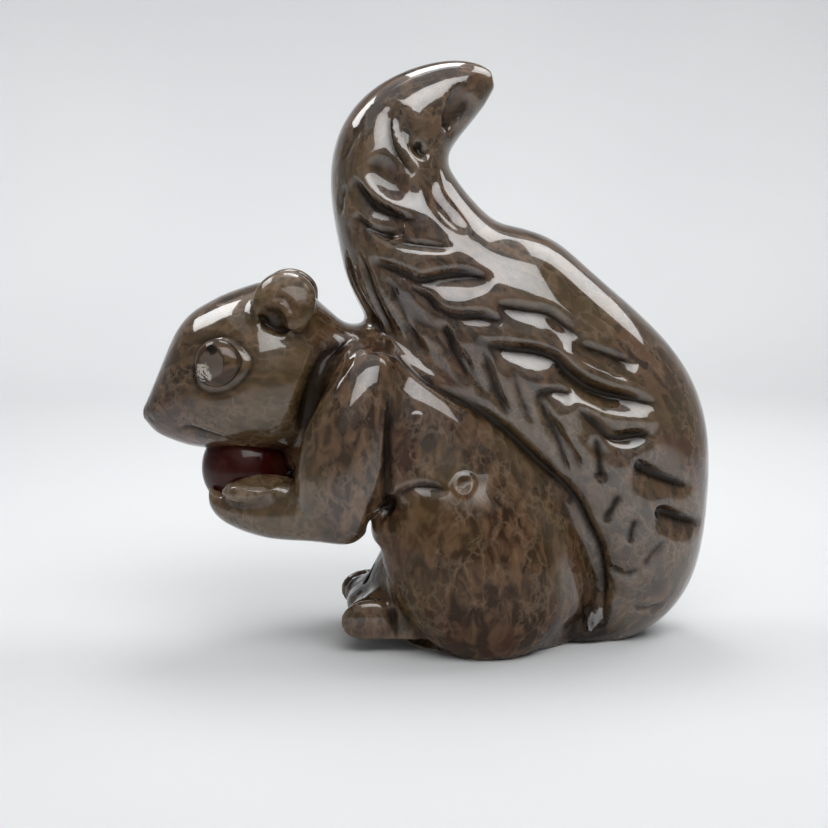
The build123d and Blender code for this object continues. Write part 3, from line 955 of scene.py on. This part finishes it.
# Eyes: almond-shaped domes, turned a little to the front, with the pupil's disc as their UV map
EYE_PLACE = np.array((-60.9, -18.2, 85.5)) * MM
EYE_TURN = math.radians(-20)
EYE_RADIUS = 7.0 * MM
EYE_BULGE = 4.2 * MM
EYE_RINGS = 24
EYE_SPOKES = 72
# Corners of the outline: how far each is drawn out, where on the turn and how wide; the one behind spans the turn's end
EYE_CORNERS = ((0.10, 0.1, 0.35), (0.10, 6.38, 0.35), (0.07, 3.9, 0.4))


def eye_mesh(side):
    """A closed lens; its outline is drawn out to a corner behind and a little below in front."""
    out = np.array((math.sin(EYE_TURN), -math.cos(EYE_TURN), 0))
    back = np.array((math.cos(EYE_TURN), math.sin(EYE_TURN), 0))
    up = np.array((0, 0, 1))
    turns = 2 * math.pi * np.arange(EYE_SPOKES) / EYE_SPOKES
    outline = np.ones(EYE_SPOKES)
    for drawn_out, turn, spread in EYE_CORNERS:
        outline += drawn_out * np.exp(-((turns - turn) / spread) ** 2)
    mesh = bmesh.new()
    layer = mesh.loops.layers.uv.new("pupil")
    discs = {}

    def vertex(radius, spoke, height):
        across = radius * outline[spoke] * math.cos(turns[spoke])
        rise = radius * outline[spoke] * math.sin(turns[spoke])
        place = EYE_PLACE + EYE_RADIUS * (across * back + rise * up) + EYE_BULGE * height * out
        made = mesh.verts.new((place[0], -side * place[1], place[2]))
        discs[made] = (0.5 + across / 2, 0.5 + rise / 2)
        return made

    rings = []
    for step in range(1, 2 * EYE_RINGS):
        tilt = math.pi / 2 * step / EYE_RINGS
        rings.append([vertex(math.sin(tilt), spoke, math.cos(tilt)) for spoke in range(EYE_SPOKES)])
    front, rear = vertex(0, 0, 1), vertex(0, 0, -1)
    for spoke in range(EYE_SPOKES):
        after = (spoke + 1) % EYE_SPOKES
        mesh.faces.new((front, rings[0][spoke], rings[0][after]))
        mesh.faces.new((rear, rings[-1][after], rings[-1][spoke]))
        for near, far in zip(rings, rings[1:]):
            mesh.faces.new((near[spoke], far[spoke], far[after], near[after]))
    for face in mesh.faces:
        face.smooth = True
        for corner in face.loops:
            corner[layer].uv = discs[corner.vert]
    bmesh.ops.recalc_face_normals(mesh, faces=mesh.faces)
    made = bpy.data.meshes.new("eye")
    mesh.to_mesh(made)
    mesh.free()
    made.materials.append(EYE_GLAZE)
    return made


for name, side in SIDES.items():
    eye = new_object(f"{name}_eye_dome", eye_mesh(side))
    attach(eye, "root")
    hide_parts(f"{name}_eye")

# Nut: a ball with faint ribs
NUT_PLACE = Vector((-54.4, 0, 52.8)) * MM
NUT_RADIUS = 13.7 * MM
NUT_SUBDIVISIONS = 6
NUT_RIBS = 9
NUT_RIB_SHARE = 0.006


def nut_mesh():
    ball = bmesh.new()
    bmesh.ops.create_icosphere(ball, subdivisions=NUT_SUBDIVISIONS, radius=1)
    for vertex in ball.verts:
        x, y, z = vertex.co
        rib = NUT_RIB_SHARE * (1 - z * z) * math.cos(NUT_RIBS * math.atan2(y, x))
        vertex.co = NUT_PLACE + NUT_RADIUS * (1 - NUT_RIB_SHARE + rib) * Vector((x, y, z))
    for face in ball.faces:
        face.smooth = True
    mesh = bpy.data.meshes.new("nut")
    ball.to_mesh(mesh)
    ball.free()
    mesh.materials.append(NUT_GLAZE)
    return mesh


nut = new_object("nut_ball", nut_mesh())
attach(nut, "root")
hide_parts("nut")

# Studio: a pale floor that curves up into a round backdrop
FLOOR_RADIUS = 0.7
BACKDROP_BEND = 0.6
BACKDROP_HEIGHT = 1.6
BACKDROP_STEPS = 12
BACKDROP_SPOKES = 96
FLOOR_PALE = (0.68, 0.692, 0.70, 1)
PAPER_GRAIN = (0.84, 0.84, 0.85, 1)
GRAIN_SHARE = 0.15
GRAIN_SIZE = 400
PAPER_ROUGHNESS = 0.9


def backdrop_material():
    material, place = new_material("studio_paper")
    grain = noise(place, (GRAIN_SIZE,) * 3, 1.0).ramp(0.3, 0.7)
    colour = (grain * GRAIN_SHARE).mix(FLOOR_PALE, PAPER_GRAIN)
    inputs = {"Base Color": colour, "Roughness": PAPER_ROUGHNESS}
    shader = place.node("ShaderNodeBsdfPrincipled", None, inputs, "BSDF")
    shader.node("ShaderNodeOutputMaterial", None, {"Surface": shader})
    return material


def backdrop_mesh():
    profile = [(FLOOR_RADIUS, 0)]
    for step in range(1, BACKDROP_STEPS + 1):
        turn = math.pi / 2 * step / BACKDROP_STEPS
        profile.append((FLOOR_RADIUS + BACKDROP_BEND * math.sin(turn), BACKDROP_BEND * (1 - math.cos(turn))))
    profile.append((FLOOR_RADIUS + BACKDROP_BEND, BACKDROP_HEIGHT))
    points, faces = [(0, 0, 0)], []
    for radius, height in profile:
        for spoke in range(BACKDROP_SPOKES):
            turn = 2 * math.pi * spoke / BACKDROP_SPOKES
            points.append((radius * math.cos(turn), radius * math.sin(turn), height))
    for spoke in range(BACKDROP_SPOKES):
        after = (spoke + 1) % BACKDROP_SPOKES
        faces.append((0, 1 + spoke, 1 + after))
        for row in range(len(profile) - 1):
            low, high = 1 + row * BACKDROP_SPOKES, 1 + (row + 1) * BACKDROP_SPOKES
            faces.append((low + spoke, high + spoke, high + after, low + after))
    mesh = bpy.data.meshes.new("backdrop")
    mesh.from_pydata(points, [], faces)
    mesh.shade_smooth()
    mesh.materials.append(backdrop_material())
    return mesh


new_object("backdrop", backdrop_mesh())


# Grid before a light: keeps it off the rest of the studio
GRID_SPREAD = math.radians(100)


def softbox(name, place, aim, width, height, glow, spread=GRID_SPREAD):
    """A rectangular studio light that shines at a point, with this glow in the middle of its beam."""
    lamp = bpy.data.lights.new(name, "AREA")
    lamp.shape = "RECTANGLE"
    lamp.size, lamp.size_y = width, height
    lamp.spread = spread
    gain = 1 / (1 - spread / 2 / math.tan(spread / 2))
    lamp.energy = glow * math.pi * width * height / gain
    box = bpy.data.objects.new(name, lamp)
    bpy.context.scene.collection.objects.link(box)
    box.location = place
    box.rotation_euler = (Vector(aim) - Vector(place)).to_track_quat("-Z", "Y").to_euler()


ROOM_TINT = (0.80, 0.84, 0.90, 1)
ROOM_GLOW = 0.10
FIGURE_MIDDLE = (0, 0, 0.08)
# Lights: place and aim in metres, width, height and glow
softbox("sky_panel", (0, 0, 0.72), FIGURE_MIDDLE, 1.0, 0.9, 0.45, math.pi)
softbox("front_wall", (0, -0.85, 0.62), FIGURE_MIDDLE, 1.2, 0.8, 0.25)
softbox("left_window", (-0.42, 0.14, 0.55), FIGURE_MIDDLE, 0.26, 0.22, 6.5)
softbox("front_window", (0.10, -0.42, 0.56), FIGURE_MIDDLE, 0.70, 0.34, 5.0)
softbox("back_window", (0.0, 0.26, 0.70), FIGURE_MIDDLE, 0.28, 0.24, 6.5)
softbox("side_window", (0.50, 0.16, 0.66), FIGURE_MIDDLE, 0.42, 0.42, 4.0)
softbox("backdrop_light", (0, 0.25, 1.15), (0, 0.95, 0.16), 1.4, 0.3, 16.0)

world = bpy.data.worlds.new("studio")
world.use_nodes = True
background = world.node_tree.nodes["Background"]
background.inputs["Color"].default_value = ROOM_TINT
background.inputs["Strength"].default_value = ROOM_GLOW
bpy.context.scene.world = world
bpy.context.scene.view_settings.view_transform = "Standard"
